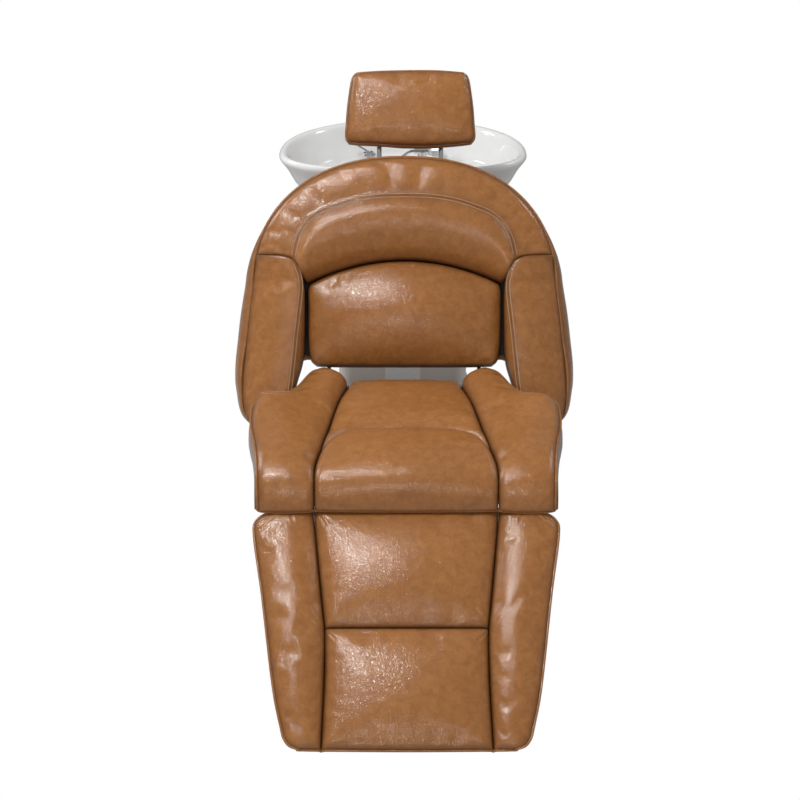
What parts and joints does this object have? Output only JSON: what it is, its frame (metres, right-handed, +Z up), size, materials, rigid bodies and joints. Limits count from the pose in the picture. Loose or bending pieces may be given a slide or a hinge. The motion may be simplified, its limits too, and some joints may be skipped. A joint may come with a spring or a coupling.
{
  "type": "salon wash unit",
  "caption": "Reclining salon wash unit: leather chair with winged back, lumbar cushion, powered legrest and head cushion, in front of a tilting ceramic bowl on a column.",
  "frame": {"origin": "on the floor, under the middle of the unit's bounding box", "axes": "+Y from the feet to the bowl, +X to the right as seen from the feet, +Z up"},
  "size_m": [0.7668, 1.7264, 1.0423],
  "materials": {
    "leather": "gloss",
    "grey_paint": "satin",
    "dark_steel": "matte",
    "brushed_plate": "satin",
    "chrome": "polished",
    "steel": "satin",
    "plywood": "matte",
    "ceramic": "gloss",
    "black_plastic": "matte",
    "white_plastic": "satin",
    "black_rubber": "matte",
    "grey_hose": "satin"
  },
  "bodies": {
    "base": {"floor_plate": "dark_steel", "levelling_feet": "black_rubber", "pedestal_frame": "dark_steel", "pedestal_cover": "grey_paint", "slide_rails": "steel", "seat_motor": "dark_steel", "column_frame": "dark_steel", "column_cover": "grey_paint", "column_front_plate": "brushed_plate", "bowl_yoke": "dark_steel", "bowl_pivot_pins": "steel", "control_panel": "black_plastic", "control_box": "black_plastic", "power_inlet": "black_plastic", "water_valves": "chrome", "drain_trap": "white_plastic", "cover_screws": "chrome"},
    "seat": {"seat_carriage": "dark_steel", "runner_blocks": "steel", "seat_board": "plywood", "seat_cushion": "leather", "left_seat_bolster": "leather", "right_seat_bolster": "leather", "seat_motor_rod": "chrome", "back_hinge_pins": "steel", "leg_hinge_pins": "steel"},
    "back": {"back_frame": "dark_steel", "back_board": "plywood", "back_shell": "leather", "upper_back_pad": "leather", "lumbar_cushion": "leather", "left_wing_pad": "leather", "right_wing_pad": "leather", "post_sleeves": "chrome"},
    "headrest": {"headrest_posts": "chrome", "headrest_board": "leather", "headrest_cushion": "leather"},
    "legrest": {"legrest_frame": "dark_steel", "legrest_board": "plywood", "leg_upper_pad": "leather", "leg_lower_pad": "leather", "left_leg_bolster": "leather", "right_leg_bolster": "leather"},
    "leg_motor": {"leg_motor": "dark_steel"},
    "leg_motor_rod": {"leg_motor_rod": "chrome"},
    "back_links": {"back_links": "steel"},
    "bowl": {"bowl": "ceramic", "bowl_cradle": "dark_steel", "drain_strainer": "chrome", "bowl_hoses": "grey_hose", "neck_rest": "black_rubber", "mixer_body": "chrome", "shower_holder": "chrome", "shower_hose": "chrome"},
    "mixer_cap": {"mixer_cap": "chrome"},
    "mixer_lever": {"mixer_lever": "chrome"},
    "hand_shower": {"hand_shower": "chrome"},
    "legrest_rocker": {"legrest_rocker": "white_plastic"},
    "recline_rocker": {"recline_rocker": "white_plastic"},
    "service_door": {"service_door": "grey_paint"}
  },
  "joints": [
    {"name": "seat_slide", "type": "slide", "parent": "base", "child": "seat", "axis": [0, -1, 0], "range_m": [0, 0.09]},
    {"name": "back_recline", "type": "hinge", "parent": "seat", "child": "back", "pos_m": [0, 0.05624, 0.384], "axis": [-1, 0, 0], "range_deg": [0, 17.1]},
    {"name": "headrest_slide", "type": "slide", "parent": "back", "child": "headrest", "axis": [0, 0.4695, 0.8829], "range_m": [0, 0.06]},
    {"name": "legrest_lift", "type": "hinge", "parent": "seat", "child": "legrest", "pos_m": [0, -0.46776, 0.364], "axis": [-1, 0, 0], "range_deg": [0, 38]},
    {"name": "leg_motor_swing", "type": "hinge", "parent": "seat", "child": "leg_motor", "pos_m": [-0.02, -0.21076, 0.32], "axis": [-1, 0, 0], "range_deg": [0, 4.1]},
    {"name": "leg_motor_extend", "type": "slide", "parent": "leg_motor", "child": "leg_motor_rod", "axis": [0, -0.9906, -0.1367], "range_m": [0, 0.049]},
    {"name": "back_link_swing", "type": "hinge", "parent": "base", "child": "back_links", "pos_m": [0, 0.39424, 0.44], "axis": [1, 0, 0], "range_deg": [0, 19.2]},
    {"name": "bowl_tilt", "type": "hinge", "parent": "base", "child": "bowl", "pos_m": [0, 0.61924, 0.555], "axis": [1, 0, 0], "range_deg": [0, 8], "deforming": ["bowl_hoses"]},
    {"name": "mixer_turn", "type": "hinge", "parent": "bowl", "child": "mixer_cap", "pos_m": [-0.084, 0.76824, 0.6963], "axis": [0, 0, 1], "range_deg": [-40, 40]},
    {"name": "mixer_lift", "type": "hinge", "parent": "mixer_cap", "child": "mixer_lever", "pos_m": [-0.084, 0.76824, 0.7083], "axis": [0, 1, 0], "range_deg": [0, 25]},
    {"name": "shower_lift", "type": "slide", "parent": "bowl", "child": "hand_shower", "axis": [0, 0, 1], "range_m": [0, 0.06], "deforming": ["shower_hose"]},
    {"name": "legrest_switch", "type": "hinge", "parent": "base", "child": "legrest_rocker", "pos_m": [0.161, 0.56324, 0.44], "axis": [0, 1, 0], "range_deg": [-6, 6], "stiffness_Nm_per_rad": 0.3},
    {"name": "recline_switch", "type": "hinge", "parent": "base", "child": "recline_rocker", "pos_m": [0.161, 0.59524, 0.44], "axis": [0, 1, 0], "range_deg": [-6, 6], "stiffness_Nm_per_rad": 0.3},
    {"name": "door_swing", "type": "hinge", "parent": "base", "child": "service_door", "pos_m": [-0.115, 0.80424, 0.3], "axis": [0, 0, 1], "range_deg": [0, 110]}
  ],
  "couplings": [
    {"joint": "back_recline", "follows": "seat_slide", "rad_per_m": 3.2967},
    {"joint": "back_link_swing", "follows": "seat_slide", "rad_per_m": 3.71},
    {"joint": "leg_motor_swing", "follows": "legrest_lift", "ratio": 0.10576},
    {"joint": "leg_motor_extend", "follows": "legrest_lift", "m_per_rad": 0.07277}
  ]
}
